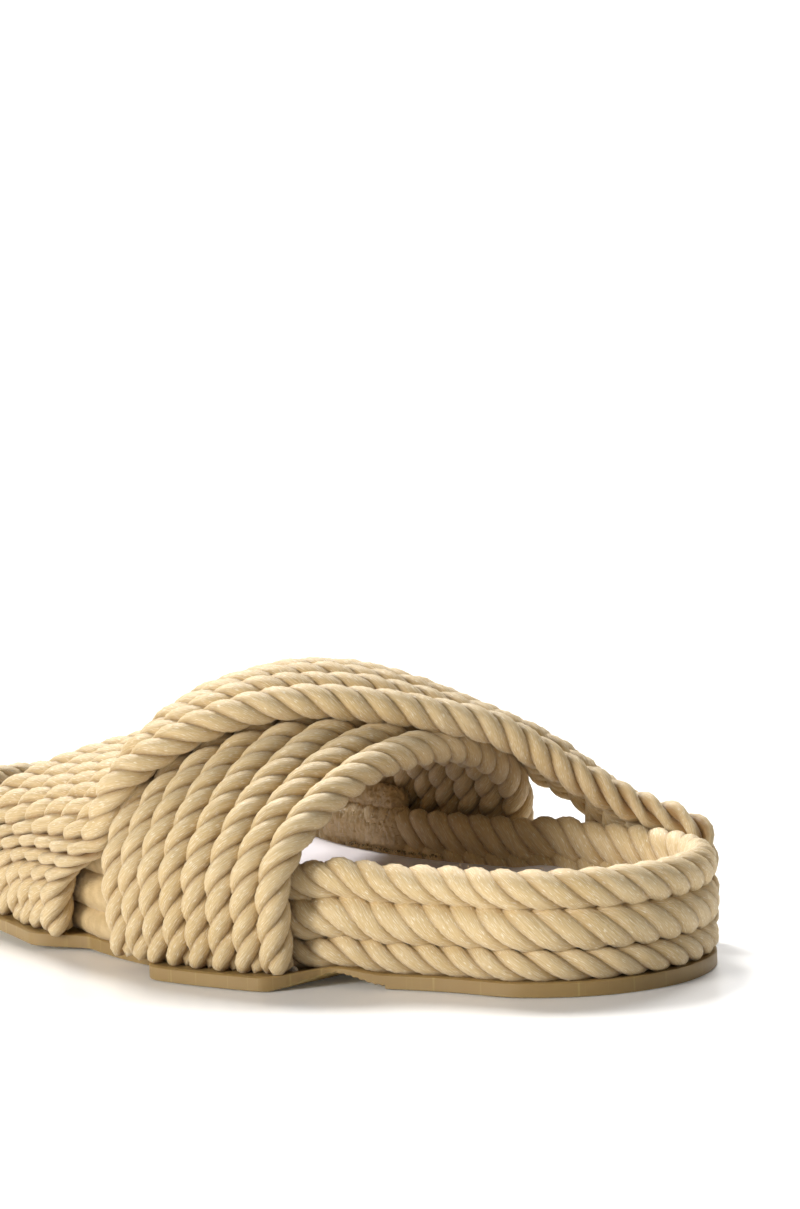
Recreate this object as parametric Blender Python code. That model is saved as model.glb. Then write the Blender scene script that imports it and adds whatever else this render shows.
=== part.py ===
"""Criss-cross rope sandal, left shoe, empty and standing on its sole.

The frame is +Z up and +Y towards the toe, so the lateral side is at -X. The sections are laid out
from the heel's back, and the whole sandal is then set over the origin, on the floor.
"""

import math
from collections import namedtuple

import bpy
import numpy as np

# Driving dimensions, in metres
LENGTH = 0.2520
HEEL_WIDTH = 0.0760
BALL_WIDTH = 0.0920
ROPE = 0.0080
OUTSOLE_THICKNESS = 0.0034
OUTSOLE_RIM = 0.0007
HEEL_STEP = 0.0006
ARCH_RISE = 0.0024
SEAT_ARCH = 0.5
TOE_SPRING = 0.0060
FLANGE_MARGIN = 0.0012
FLANGE_RAMP = 0.0140
FLANGE_LEAD = 0.50
FLANGE_TAIL = -0.35
INSOLE_SINK = 0.0105
INSTEP_HEIGHT = 0.0480
CLEARANCE = 0.0003

# Counts of ropes and of the facets along and across them
STRAP_ROPES = 8
COURSE_SIDES = 8
COURSE_STEPS = 72
OUTLINE_STEPS = 288
SLAB_ROWS = 60
STRAP_STEPS = 30
RIB_STEPS = 3

# Where the underside changes, as shares of the length from the heel's back
HEEL_BLOCK_END = 0.205
ARCH_TOP = 0.250
ARCH_END = 0.290
SPRING_START = 0.520
SPRING_POWER = 1.25

# The wall's three turns of rope, from the outsole up: how far each is squashed, in ropes
CourseRow = namedtuple("CourseRow", "name height width")
COURSES = (
    CourseRow(name="rope_course_lower", height=0.84, width=0.94),
    CourseRow(name="rope_course_middle", height=1.13, width=1.00),
    CourseRow(name="rope_course_upper", height=1.03, width=0.94),
)

# The sole's plan: the reach of its two edges at shares of the length, in halves of the ball width
PlanRow = namedtuple("PlanRow", "along lateral medial")
PLAN = (
    PlanRow(along=0.28, lateral=1.080, medial=0.745),
    PlanRow(along=0.42, lateral=1.200, medial=0.700),
    PlanRow(along=0.55, lateral=1.120, medial=0.840),
    PlanRow(along=0.68, lateral=0.930, medial=1.010),
    PlanRow(along=0.80, lateral=0.770, medial=1.000),
    PlanRow(along=0.90, lateral=0.570, medial=0.890),
    PlanRow(along=0.965, lateral=0.320, medial=0.650),
)
TOE_TIP = 0.16

# A cross-section of the straps' last, from the outsole up to the crown: the reach as a share of the
# half width, then the rise as a share of the rope wall's height and of the instep's height above it
LastRow = namedtuple("LastRow", "turn reach wall crown")
LAST = (
    LastRow(turn=0.00, reach=1.000, wall=0.00, crown=0.00),
    LastRow(turn=0.10, reach=1.015, wall=0.45, crown=0.00),
    LastRow(turn=0.20, reach=1.020, wall=0.92, crown=0.02),
    LastRow(turn=0.26, reach=0.965, wall=1.00, crown=0.20),
    LastRow(turn=0.32, reach=0.850, wall=1.00, crown=0.45),
    LastRow(turn=0.38, reach=0.630, wall=1.00, crown=0.72),
    LastRow(turn=0.44, reach=0.330, wall=1.00, crown=0.93),
    LastRow(turn=0.50, reach=0.000, wall=1.00, crown=1.00),
)

# The instep's height along the sole, as a share of its named height
InstepRow = namedtuple("InstepRow", "along height")
INSTEP = (
    InstepRow(along=0.08, height=0.53),
    InstepRow(along=0.15, height=0.67),
    InstepRow(along=0.21, height=0.79),
    InstepRow(along=0.25, height=0.88),
    InstepRow(along=0.30, height=0.98),
    InstepRow(along=0.36, height=1.09),
    InstepRow(along=0.42, height=1.14),
    InstepRow(along=0.50, height=1.06),
    InstepRow(along=0.60, height=0.92),
    InstepRow(along=0.72, height=0.84),
    InstepRow(along=0.86, height=0.76),
)

# Each strap's path from its lateral end, at turn 0, to its medial end, at turn 1: its middle as a
# share of the length, and the spacing of its ropes along the sole as a share of their thickness
StrapRow = namedtuple("StrapRow", "turn along pitch")
LOWER_STRAP = (
    StrapRow(turn=0.00, along=0.382, pitch=0.835),
    StrapRow(turn=0.15, along=0.384, pitch=0.865),
    StrapRow(turn=0.30, along=0.378, pitch=0.890),
    StrapRow(turn=0.50, along=0.393, pitch=0.940),
    StrapRow(turn=0.70, along=0.420, pitch=0.940),
    StrapRow(turn=0.85, along=0.428, pitch=0.840),
    StrapRow(turn=1.00, along=0.428, pitch=0.760),
)
UPPER_STRAP = (
    StrapRow(turn=0.00, along=0.705, pitch=0.80),
    StrapRow(turn=0.15, along=0.688, pitch=0.93),
    StrapRow(turn=0.22, along=0.645, pitch=1.02),
    StrapRow(turn=0.30, along=0.615, pitch=1.08),
    StrapRow(turn=0.50, along=0.450, pitch=1.30),
    StrapRow(turn=0.65, along=0.298, pitch=1.03),
    StrapRow(turn=0.77, along=0.186, pitch=0.62),
    StrapRow(turn=0.88, along=0.170, pitch=0.57),
    StrapRow(turn=1.00, along=0.170, pitch=0.57),
)

# How the upper strap is lifted over the lower one, in ropes from the lower strap's middle, and
# the turns between which it rises from the lateral edge and sinks to the medial edge
LIFT_FULL = 3.5
LIFT_FRONT = 5.3
LIFT_REAR = 9.0
RISE_LATERAL = (0.04, 0.20)
SINK_MEDIAL = (0.74, 0.88)
# How far the upper strap's underside reaches down to the lower strap, in ropes from its middle,
# and the straps' thickness between two ropes as a share of a rope's
JOIN_FULL = 4.1
JOIN_NONE = 5.4
VALLEY = 0.38

ROPE_COLOUR = (0.78, 0.62, 0.38, 1.0)
OUTSOLE_COLOUR = (0.46, 0.33, 0.16, 1.0)
INSOLE_COLOUR = (0.72, 0.69, 0.72, 1.0)


def spline(stops, values, at):
    """Smooth curve through the values at the stops, read at one or more places."""
    stops = np.asarray(stops, float)
    values = np.asarray(values, float)
    slopes = np.gradient(values, stops)
    at = np.clip(np.asarray(at, float), stops[0], stops[-1])
    index = np.clip(np.searchsorted(stops, at, side="right") - 1, 0, len(stops) - 2)
    span = stops[index + 1] - stops[index]
    t = (at - stops[index]) / span
    start = values[index] * (2 * t**3 - 3 * t**2 + 1) + slopes[index] * span * (t**3 - 2 * t**2 + t)
    end = values[index + 1] * (3 * t**2 - 2 * t**3) + slopes[index + 1] * span * (t**3 - t**2)
    return start + end


def ramp(value, low, high):
    """Smooth step from 0 at low to 1 at high."""
    t = np.clip((np.asarray(value, float) - low) / (high - low), 0.0, 1.0)
    return t * t * (3.0 - 2.0 * t)


def sole_loop():
    """Closed outline of the rope wall, from the heel's back round the medial side, in plan."""
    heel = HEEL_WIDTH / 2
    half = BALL_WIDTH / 2
    quarter = [math.radians(angle) for angle in (0, 30, 60, 90)]
    points = [(heel * math.sin(a), heel - heel * math.cos(a)) for a in quarter]
    points += [(row.medial * half, row.along * LENGTH) for row in PLAN]
    points += [(TOE_TIP * half, LENGTH)]
    points += [(-row.lateral * half, row.along * LENGTH) for row in reversed(PLAN)]
    points += [(-heel * math.sin(a), heel - heel * math.cos(a)) for a in reversed(quarter[1:])]
    points = np.array(points)
    knots = np.concatenate([[0.0], np.cumsum(np.linalg.norm(np.diff(
        np.vstack([points, points[:1]]), axis=0), axis=1) ** 0.7)])
    wrapped = np.vstack([points[-3:], points, points[:3]])
    turns = np.concatenate([knots[-4:-1] - knots[-1], knots[:-1], knots[:3] + knots[-1]])
    places = np.linspace(0.0, knots[-1], OUTLINE_STEPS * 4, endpoint=False)
    dense = np.stack([spline(turns, wrapped[:, axis], places) for axis in (0, 1)], 1)
    return resample(dense, OUTLINE_STEPS)


def resample(loop, count):
    """The closed loop at a count of evenly spaced points."""
    closed = np.vstack([loop, loop[:1]])
    length = np.concatenate([[0.0], np.cumsum(np.linalg.norm(np.diff(closed, axis=0), axis=1))])
    places = np.linspace(0.0, length[-1], count, endpoint=False)
    return np.stack([np.interp(places, length, closed[:, axis]) for axis in (0, 1)], 1)


def outward(loop):
    """Unit normals that point out of a loop which runs anticlockwise from above."""
    along = np.roll(loop, -1, axis=0) - np.roll(loop, 1, axis=0)
    along /= np.linalg.norm(along, axis=1)[:, None]
    return np.stack([along[:, 1], -along[:, 0]], 1)


def offset(loop, distance):
    """The loop moved outwards by a distance, which may differ from point to point."""
    return loop + outward(loop) * np.reshape(distance, (-1, 1))


def edge(loop, side, y):
    """The loop's x at y, on the medial side (+1) or the lateral side (-1)."""
    top = int(np.argmax(loop[:, 1]))
    bottom = int(np.argmin(loop[:, 1]))
    rolled = np.roll(loop, -bottom, axis=0)
    turn = (top - bottom) % len(loop)
    part = rolled[:turn + 1] if side > 0 else np.vstack([rolled[turn:], rolled[:1]])[::-1]
    return np.interp(y, part[:, 1], part[:, 0])


def underside(y):
    """Height of the outsole's underside: heel block, raised arch, forefoot and toe spring."""
    share = np.asarray(y, float) / LENGTH
    arch = ARCH_RISE * ramp(share, HEEL_BLOCK_END, ARCH_TOP) * (1 - ramp(share, ARCH_TOP, ARCH_END))
    step = HEEL_STEP * (share > HEEL_BLOCK_END) * (1 - ramp(share, ARCH_TOP, ARCH_END))
    toe = TOE_SPRING * (np.clip(share - SPRING_START, 0, None) / (1 - SPRING_START)) ** SPRING_POWER
    return arch + step + toe


def seat(y):
    """Height of the outsole's top, which the rope wall and the strap ends stand on."""
    share = np.asarray(y, float) / LENGTH
    arch = ARCH_RISE * ramp(share, HEEL_BLOCK_END, ARCH_TOP) * (1 - ramp(share, ARCH_TOP, ARCH_END))
    toe = TOE_SPRING * (np.clip(share - SPRING_START, 0, None) / (1 - SPRING_START)) ** SPRING_POWER
    return OUTSOLE_THICKNESS + SEAT_ARCH * arch + toe


def strap_middle(strap, turn):
    """Place of a strap's middle along the sole, and its ropes' spacing there, at a turn."""
    turns = [row.turn for row in strap]
    along = spline(turns, [row.along * LENGTH for row in strap], turn)
    pitch = spline(turns, [row.pitch * ROPE for row in strap], turn)
    return along, pitch


def strap_edges(strap, turn):
    """Places along the sole of a strap's rear and front edges at a turn."""
    along, pitch = strap_middle(strap, turn)
    return along - pitch * STRAP_ROPES / 2, along + pitch * STRAP_ROPES / 2


def outsole_loop(loop):
    """The outsole's outline, which reaches out under the four strap ends."""
    reach = np.zeros(len(loop))
    for strap in (LOWER_STRAP, UPPER_STRAP):
        for turn, side in ((0.0, -1), (1.0, 1)):
            rear, front = strap_edges(strap, turn)
            on_side = loop[:, 0] * side > 0
            y = loop[:, 1]
            start = rear - FLANGE_RAMP * FLANGE_LEAD
            end = front + FLANGE_RAMP * FLANGE_TAIL
            bump = ramp(y, start, start + FLANGE_RAMP) * (1 - ramp(y, end - FLANGE_RAMP, end))
            reach = np.maximum(reach, bump * on_side)
    return offset(loop, reach * (ROPE + 2 * CLEARANCE + FLANGE_MARGIN) - (1 - reach) * OUTSOLE_RIM)


def slab_rows(loop, breaks):
    """Places along a slab's length, closer at its round ends, with the given breaks among them."""
    low = loop[:, 1].min()
    high = loop[:, 1].max()
    angles = np.linspace(0.0, math.pi, SLAB_ROWS + 1)
    angles[0] = angles[1] * 0.35
    angles[-1] = math.pi - angles[0]
    rows = (low + high) / 2 - np.cos(angles) * (high - low) / 2
    clear = [y for y in rows if all(abs(y - b) > 2 * CLEARANCE for b in breaks)]
    return np.sort(np.array(clear + list(breaks)))


def mesh_object(name, vertices, faces, colour, roughness, collection):
    """A named object with one Principled material, made from a loft's vertices and faces."""
    mesh = bpy.data.meshes.new(name)
    mesh.from_pydata([tuple(map(float, v)) for v in vertices], [], faces)
    mesh.update()
    made = bpy.data.objects.new(name, mesh)
    collection.objects.link(made)
    material = bpy.data.materials.new(name)
    material.use_nodes = True
    shader = material.node_tree.nodes["Principled BSDF"]
    shader.inputs["Base Color"].default_value = colour
    shader.inputs["Roughness"].default_value = roughness
    shader.inputs["Metallic"].default_value = 0.0
    mesh.materials.append(material)
    mesh.shade_smooth()
    mesh.set_sharp_from_angle(angle=math.radians(35))
    return made


def loft_faces(sections, count, closed):
    """Quads between rings of count points each, with end caps where the loft isn't closed."""
    faces = []
    last = sections if closed else sections - 1
    for i in range(last):
        a = i * count
        b = ((i + 1) % sections) * count
        for k in range(count):
            n = (k + 1) % count
            faces.append((a + k, a + n, b + n, b + k))
    if not closed:
        faces.append(tuple(reversed(range(count))))
        faces.append(tuple((sections - 1) * count + k for k in range(count)))
    return faces


def slab(name, loop, low, high, rim, breaks, colour, roughness, collection):
    """A flat piece of the loop's outline between two heights that vary along the sole."""
    sections = []
    for y in slab_rows(loop, breaks):
        left = float(edge(loop, -1, y))
        right = float(edge(loop, 1, y))
        inset = min(rim, (right - left) / 4)
        z0 = float(low(y))
        z1 = float(high(y))
        sections.append((
            (left + inset, y, z0), (left, y, z0 + inset), (left, y, z1),
            (right, y, z1), (right, y, z0 + inset), (right - inset, y, z0),
        ))
    vertices = [v for section in sections for v in section]
    return mesh_object(name, vertices, loft_faces(len(sections), 6, False), colour, roughness,
                       collection)


def rope_course(course, loop, low, collection):
    """One closed turn of rope round the sole, its underside at a height above the outsole."""
    path = resample(offset(loop, -ROPE / 2), COURSE_STEPS)
    normals = outward(path)
    vertices = []
    corner = math.cos(math.pi / COURSE_SIDES)
    half_width = course.width * ROPE / 2 / corner
    half_height = (course.height * ROPE - CLEARANCE) / 2 / corner
    for (x, y), (nx, ny) in zip(path, normals):
        z = float(seat(y)) + low + (CLEARANCE + course.height * ROPE) / 2
        for k in range(COURSE_SIDES):
            angle = 2 * math.pi * (k + 0.5) / COURSE_SIDES
            out = half_width * math.cos(angle)
            vertices.append((x + nx * out, y + ny * out, z + half_height * math.sin(angle)))
    faces = [tuple(reversed(face)) for face in loft_faces(COURSE_STEPS, COURSE_SIDES, True)]
    return mesh_object(course.name, vertices, faces, ROPE_COLOUR, 0.6, collection)


def last_point(loop, turn, y, lift):
    """Point on the straps' last at a turn and a place along the sole, raised off it by lift."""
    turn = np.asarray(turn, float)
    folded = np.where(turn > 0.5, 1.0 - turn, turn)
    stand = ROPE / 2 + 2 * CLEARANCE
    wall = offset(loop, stand)
    lateral = edge(wall, -1, y)
    medial = edge(wall, 1, y)
    middle = (lateral + medial) / 2
    half = (medial - lateral) / 2
    turns = [row.turn for row in LAST]
    reach = spline(turns, [row.reach for row in LAST], folded)
    wall_top = ROPE * sum(course.height for course in COURSES)
    height = INSTEP_HEIGHT * spline([row.along * LENGTH for row in INSTEP],
                                    [row.height for row in INSTEP], y)
    rise = wall_top * spline(turns, [row.wall for row in LAST], folded)
    rise = rise + (height - wall_top) * spline(turns, [row.crown for row in LAST], folded)
    side = np.where(turn > 0.5, 1.0, -1.0)
    x = middle + side * half * reach
    z = seat(y) + rise
    point = np.stack([x, np.broadcast_to(y, x.shape), z], -1)
    away = np.stack([side * half * reach, np.zeros_like(x), rise], -1)
    away /= np.linalg.norm(away, axis=-1)[..., None]
    return point + away * np.reshape(lift, x.shape + (1,))


def strap_place(strap, turn, k):
    """Place along the sole of the line k ropes in front of a strap's middle."""
    along, pitch = strap_middle(strap, turn)
    return along + pitch * k


def over_lower(turn, y, full, front, rear):
    """1 where a place lies over the lower strap, falling to 0 in front of it and behind it."""
    along, pitch = strap_middle(LOWER_STRAP, turn)
    ropes = (y - along) / pitch
    share = (1.0 - ramp(ropes, full, front)) * (1.0 - ramp(-ropes, full, rear))
    return share * ramp(turn, *RISE_LATERAL) * (1.0 - ramp(turn, *SINK_MEDIAL))


def strap_surface(loop, strap, turn, k, lifted):
    """Middle surface of a strap at turn and k, with its outward normal."""
    def at(turn_at, k_at):
        y = strap_place(strap, turn_at, k_at)
        lift = ROPE * over_lower(turn_at, y, LIFT_FULL, LIFT_FRONT, LIFT_REAR) if lifted else 0.0 * y
        return last_point(loop, turn_at, y, lift)
    step = 0.004
    point = at(turn, k)
    along = at(np.minimum(turn + step, 1.0), k) - at(np.maximum(turn - step, 0.0), k)
    across = at(turn, k + step) - at(turn, k - step)
    normal = np.cross(along, across)
    normal /= np.linalg.norm(normal, axis=-1)[..., None]
    return point, normal


def strap_sections(loop, strap, lifted):
    """Rings of a strap's ribbed band: its ropes' outer faces, then its inner faces back again."""
    marks = [j + i / RIB_STEPS for j in range(STRAP_ROPES) for i in range(RIB_STEPS)]
    marks = np.array(marks + [float(STRAP_ROPES)])
    place = marks - STRAP_ROPES / 2
    round_share = np.sin(np.pi * (marks % 1.0))
    rib = VALLEY + (1.0 - VALLEY) * np.where(marks % 1.0 == 0.0, 0.0, round_share / round_share.max())
    rings = []
    for turn in np.linspace(0.0, 1.0, STRAP_STEPS):
        turns = np.full(len(marks), turn)
        point, normal = strap_surface(loop, strap, turns, place, lifted)
        outer = point + normal * (rib * ROPE / 2)[:, None]
        depth = rib * ROPE / 2
        if lifted:
            y = strap_place(strap, turns, place)
            join = over_lower(turns, y, JOIN_FULL, JOIN_NONE, JOIN_NONE)
            depth = depth * (1 - join) + ROPE * 0.9 * join
        inner = point - normal * depth[:, None]
        ring = np.vstack([outer, inner[::-1]])
        if turn in (0.0, 1.0):
            ring[:, 2] = seat(ring[:, 1]) + CLEARANCE
        rings.append(ring)
    return rings


def strap_mesh(name, loop, strap, lifted, collection):
    """A strap as one closed band of ropes."""
    rings = strap_sections(loop, strap, lifted)
    vertices = [v for ring in rings for v in ring]
    return mesh_object(name, vertices, loft_faces(len(rings), len(rings[0]), False), ROPE_COLOUR,
                       0.6, collection)


def fuse(target, cutter):
    """Join a guide body into the target with an exact union, also where squeezed ropes overlap."""
    join = target.modifiers.new("join", "BOOLEAN")
    join.operation = "UNION"
    join.solver = "EXACT"
    join.use_self = True
    join.object = cutter


def build():
    """Make the sandal's pieces and set them over the origin."""
    for old in list(bpy.data.objects):
        bpy.data.objects.remove(old, do_unlink=True)
    parts = bpy.data.collections.new("rope_sandal")
    guides = bpy.data.collections.new("guides")
    bpy.context.scene.collection.children.link(parts)
    bpy.context.scene.collection.children.link(guides)

    wall = sole_loop()
    core = offset(wall, -ROPE - 3 * CLEARANCE)
    wall_top = ROPE * sum(course.height for course in COURSES)
    base = outsole_loop(wall)
    step = (HEEL_BLOCK_END * LENGTH, HEEL_BLOCK_END * LENGTH + CLEARANCE)

    made = [slab("outsole", base, underside, seat, OUTSOLE_RIM, step, OUTSOLE_COLOUR, 0.45, parts)]
    made.append(slab(
        "insole", core,
        lambda y: seat(y) + CLEARANCE,
        lambda y: seat(y) + wall_top - INSOLE_SINK,
        OUTSOLE_RIM, (), INSOLE_COLOUR, 0.7, parts,
    ))
    low = 0.0
    for course in COURSES:
        made.append(rope_course(course, wall, low, parts))
        low += ROPE * course.height

    upper = strap_mesh("upper", wall, LOWER_STRAP, False, parts)
    over = strap_mesh("upper_strap", wall, UPPER_STRAP, True, guides)
    over.hide_render = True
    over.display_type = "WIRE"
    fuse(upper, over)
    made.append(upper)

    spots = np.array([vertex.co for piece in made + [over] for vertex in piece.data.vertices])
    middle = (spots.min(axis=0) + spots.max(axis=0)) / 2
    for piece in made + [over]:
        piece.location = (-middle[0], -middle[1], 0.0)


build()
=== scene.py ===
"""The rope sandal dressed for its portrait: twisted rope, footbed, rubber outsole, pale studio."""

from __future__ import annotations

import logging
import math
from dataclasses import dataclass, field
from enum import Enum

import bpy
import numpy as np
from mathutils import Matrix, Vector, noise


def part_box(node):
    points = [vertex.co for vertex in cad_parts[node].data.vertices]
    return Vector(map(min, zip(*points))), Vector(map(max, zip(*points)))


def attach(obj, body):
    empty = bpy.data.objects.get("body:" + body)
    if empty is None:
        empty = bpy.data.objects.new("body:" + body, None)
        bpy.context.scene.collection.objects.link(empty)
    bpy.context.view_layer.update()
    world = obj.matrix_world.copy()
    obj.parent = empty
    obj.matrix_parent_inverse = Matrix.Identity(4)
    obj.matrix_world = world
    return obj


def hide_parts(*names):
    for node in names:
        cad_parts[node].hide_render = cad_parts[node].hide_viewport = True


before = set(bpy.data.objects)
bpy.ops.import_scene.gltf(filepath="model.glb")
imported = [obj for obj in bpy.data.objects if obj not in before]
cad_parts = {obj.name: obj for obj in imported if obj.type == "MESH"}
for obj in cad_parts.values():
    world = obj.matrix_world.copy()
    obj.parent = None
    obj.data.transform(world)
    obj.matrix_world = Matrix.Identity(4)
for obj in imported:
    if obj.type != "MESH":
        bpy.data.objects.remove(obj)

logging.basicConfig(level=logging.INFO, format="%(message)s")
LOG = logging.getLogger("rope_sandal")

OUTLINE_POINTS = 288
# maps run in centimetres along a piece
MAP_SCALE = 100
MERGE = 0.000002
# a direction that no fibre or rope runs along
ASKEW = np.array([0.31, 0.17, 0.93])

Array = np.ndarray
Thing = bpy.types.Object
Material = bpy.types.Material
Socket = bpy.types.NodeSocket
Colour = tuple[float, float, float]


class Lay(Enum):
    """Which way a rope's strands are laid."""

    RIGHT = 1.0
    LEFT = -1.0


class Side(Enum):
    """The two edges of the sole."""

    MEDIAL = 1.0
    LATERAL = -1.0


def spline(stops: list[float], values: list[float], at: Array) -> Array:
    """Smooth curve through the values at the stops.

    Args:
        stops: Places of the values, rising.
        values: The values there.
        at: Places to read.

    Returns:
        The curve's values at those places.
    """
    stops = np.asarray(stops, float)
    values = np.asarray(values, float)
    slopes = np.gradient(values, stops)
    at = np.clip(np.asarray(at, float), stops[0], stops[-1])
    index = np.clip(np.searchsorted(stops, at, side="right") - 1, 0, len(stops) - 2)
    span = stops[index + 1] - stops[index]
    t = (at - stops[index]) / span
    start = values[index] * (2 * t**3 - 3 * t**2 + 1) + slopes[index] * span * (t**3 - 2 * t**2 + t)
    end = values[index + 1] * (3 * t**2 - 2 * t**3) + slopes[index + 1] * span * (t**3 - t**2)
    return start + end


def ramp(value: Array, low: float, high: float) -> Array:
    """Smooth step from 0 at low to 1 at high."""
    t = np.clip((np.asarray(value, float) - low) / (high - low), 0.0, 1.0)
    return t * t * (3.0 - 2.0 * t)


def unit(vectors: Array) -> Array:
    """The vectors at length 1."""
    return vectors / np.maximum(np.linalg.norm(vectors, axis=-1, keepdims=True), 1e-12)


def arc_length(points: Array, power: float = 1.0) -> Array:
    """Distance along a line of points, from 0 at its first, each step raised to a power."""
    steps = np.linalg.norm(np.diff(points, axis=0), axis=1)
    return np.concatenate([[0.0], np.cumsum(steps ** power)])


def tangents(points: Array, closed: bool = False) -> Array:
    """Unit directions along a line, the same at both ends where it is closed.

    Args:
        points: The line's points.
        closed: Whether its last point is its first.

    Returns:
        One direction for each point.
    """
    along = np.gradient(points, axis=0)
    if closed:
        along[0] = along[-1] = points[1] - points[-2]
    return unit(along)


def square_to(vectors: Array, along: Array) -> Array:
    """The vectors without what they have of the directions."""
    return vectors - along * np.sum(vectors * along, axis=1, keepdims=True)


def eased(low: float, high: float, count: int, start: float = 0.0) -> Array:
    """Places from low to high, closer together near both; start leaves out the very ends."""
    return (low + high) / 2 - np.cos(np.linspace(start, math.pi - start, count)) * (high - low) / 2


def respaced(points: Array, count: int) -> Array:
    """The open line at a count of evenly spaced points.

    Args:
        points: The line's points.
        count: How many are wanted.

    Returns:
        The new points.
    """
    length = arc_length(points)
    places = np.linspace(0.0, length[-1], count)
    return np.stack([np.interp(places, length, points[:, k]) for k in range(points.shape[1])], 1)


class Outline:
    """A closed line in plan, anticlockwise from above."""

    def __init__(self, loop: Array) -> None:
        """Keep the loop's points.

        Args:
            loop: Rows of x and y, in metres.
        """
        self.loop = loop

    def resampled(self, count: int) -> Outline:
        """The same line at a count of evenly spaced points."""
        closed = np.vstack([self.loop, self.loop[:1]])
        return Outline(respaced(closed, count + 1)[:-1])

    def outward(self) -> Array:
        """Unit normals that point out of the line."""
        along = unit(np.roll(self.loop, -1, axis=0) - np.roll(self.loop, 1, axis=0))
        return np.stack([along[:, 1], -along[:, 0]], 1)

    def offset(self, distance: float | Array) -> Outline:
        """The line moved outwards, by a distance that may differ from point to point."""
        return Outline(self.loop + self.outward() * np.reshape(distance, (-1, 1)))

    def edge(self, side: Side, y: float | Array) -> float | Array:
        """The x of one of the line's two edges.

        Args:
            side: Which edge.
            y: Places along the sole.

        Returns:
            The edge's x there.
        """
        top = int(np.argmax(self.loop[:, 1]))
        bottom = int(np.argmin(self.loop[:, 1]))
        rolled = np.roll(self.loop, -bottom, axis=0)
        turn = (top - bottom) % len(self.loop)
        part = rolled[:turn + 1]
        if side is Side.LATERAL:
            part = np.vstack([rolled[turn:], rolled[:1]])[::-1]
        return np.interp(y, part[:, 1], part[:, 0])


@dataclass
class Course:
    """One turn of rope of the wall, squashed in its own way, in ropes."""

    node: str
    height: float
    width: float
    phase: float


@dataclass
class Sole:
    """The sole's sizes, its plan and its heights along the foot."""

    length: float = 0.252
    heel_width: float = 0.076
    ball_width: float = 0.092
    rope: float = 0.008
    thickness: float = 0.0034
    rim: float = 0.0007
    heel_step: float = 0.0006
    arch_rise: float = 0.0024
    seat_arch: float = 0.5
    toe_spring: float = 0.006
    spring_power: float = 1.25
    spring_start: float = 0.52
    block_end: float = 0.205
    arch_top: float = 0.25
    arch_end: float = 0.29
    toe_tip: float = 0.16
    insole_sink: float = 0.0105
    flange_margin: float = 0.0012
    flange_ramp: float = 0.014
    flange_lead: float = 0.5
    flange_tail: float = -0.35
    clearance: float = 0.0003
    # how the plan's curve is drawn
    heel_angles: tuple[int, ...] = (0, 30, 60, 90)
    knot_power: float = 0.7
    dense: int = 4
    # shares of the length, and reach of the lateral and medial edges in halves of the ball width
    plan: tuple[tuple[float, float, float], ...] = (
        (0.28, 1.080, 0.745), (0.42, 1.200, 0.700), (0.55, 1.120, 0.840), (0.68, 0.930, 1.010),
        (0.80, 0.770, 1.000), (0.90, 0.570, 0.890), (0.965, 0.320, 0.650),
    )
    courses: tuple[Course, ...] = (
        Course("rope_course_lower", 0.84, 0.94, 0.4),
        Course("rope_course_middle", 1.13, 1.00, 1.5),
        Course("rope_course_upper", 1.03, 0.94, 2.3),
    )

    def wall(self, count: int = OUTLINE_POINTS) -> Outline:
        """The rope wall's outline at a count of points.

        Args:
            count: How many points.

        Returns:
            The outline.
        """
        heel = self.heel_width / 2
        half = self.ball_width / 2
        quarter = [math.radians(angle) for angle in self.heel_angles]
        points = [(heel * math.sin(a), heel - heel * math.cos(a)) for a in quarter]
        points += [(medial * half, along * self.length) for along, _, medial in self.plan]
        points += [(self.toe_tip * half, self.length)]
        points += [(-lateral * half, along * self.length)
                   for along, lateral, _ in reversed(self.plan)]
        points += [(-heel * math.sin(a), heel - heel * math.cos(a)) for a in reversed(quarter[1:])]
        table = np.array(points)
        knots = arc_length(np.vstack([table, table[:1]]), self.knot_power)
        wrapped = np.vstack([table[-3:], table, table[:3]])
        turns = np.concatenate([knots[-4:-1] - knots[-1], knots[:-1], knots[:3] + knots[-1]])
        places = np.linspace(0.0, knots[-1], count * self.dense, endpoint=False)
        dense = np.stack([spline(turns, wrapped[:, axis], places) for axis in (0, 1)], 1)
        return Outline(dense).resampled(count)

    def arch(self, y: float | Array) -> float | Array:
        """Rise of the arch at places along the sole.

        Args:
            y: The places.

        Returns:
            The rise there.
        """
        share = np.asarray(y, float) / self.length
        rise = ramp(share, self.block_end, self.arch_top)
        return self.arch_rise * rise * (1 - ramp(share, self.arch_top, self.arch_end))

    def toe(self, y: float | Array) -> float | Array:
        """Lift of the toe spring at places along the sole."""
        share = np.clip(np.asarray(y, float) / self.length - self.spring_start, 0, None)
        return self.toe_spring * (share / (1 - self.spring_start)) ** self.spring_power

    def underside(self, y: float | Array) -> float | Array:
        """Height of the outsole's underside.

        Args:
            y: Places along the sole.

        Returns:
            The height there.
        """
        share = np.asarray(y, float) / self.length
        step = self.heel_step * (share > self.block_end)
        step = step * (1 - ramp(share, self.arch_top, self.arch_end))
        return self.arch(y) + step + self.toe(y)

    def seat(self, y: float | Array) -> float | Array:
        """Height of the outsole's top, which ropes and strap ends stand on."""
        return self.thickness + self.seat_arch * self.arch(y) + self.toe(y)

    @property
    def wall_top(self) -> float:
        """Height of the rope wall above the outsole."""
        return self.rope * sum(course.height for course in self.courses)


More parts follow.
